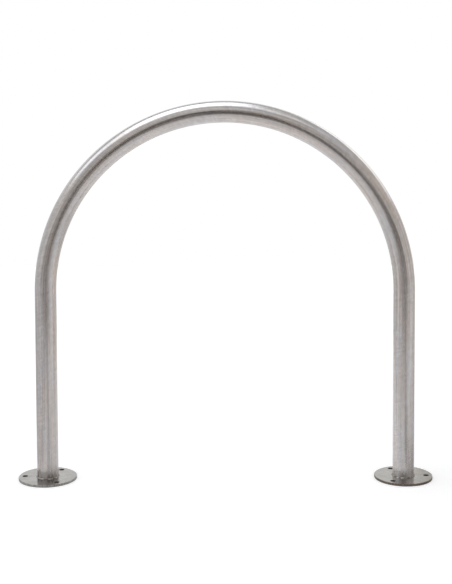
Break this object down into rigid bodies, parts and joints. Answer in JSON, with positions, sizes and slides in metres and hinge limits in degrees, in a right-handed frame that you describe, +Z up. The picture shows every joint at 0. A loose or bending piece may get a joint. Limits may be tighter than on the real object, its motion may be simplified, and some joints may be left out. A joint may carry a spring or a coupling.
{
  "type": "hoop bike rack",
  "caption": "Arch of bent steel tube with a round drilled flange welded to each foot, bolted down on paving to lean and lock bicycles against.",
  "frame": {"origin": "on the ground, in the plane of the flanges' undersides, midway between the two feet", "axes": "+Z up, +X along the arch towards the right foot, +Y horizontal through the arch, away from a viewer who has the right foot on the right"},
  "size_m": [0.9872, 0.138, 0.9],
  "materials": {
    "tube_steel": "stainless tube, finely belt-polished, satin to semi-bright",
    "plate_steel": "cold-rolled stainless plate, semi-bright, with a cut rim",
    "weld_bead": "as-welded stainless bead, wire-brushed, with heat tint"
  },
  "bodies": {
    "root": {"hoop_tube": "tube_steel", "left_flange": "plate_steel", "right_flange": "plate_steel", "left_weld": "weld_bead", "right_weld": "weld_bead"}
  },
  "joints": []
}
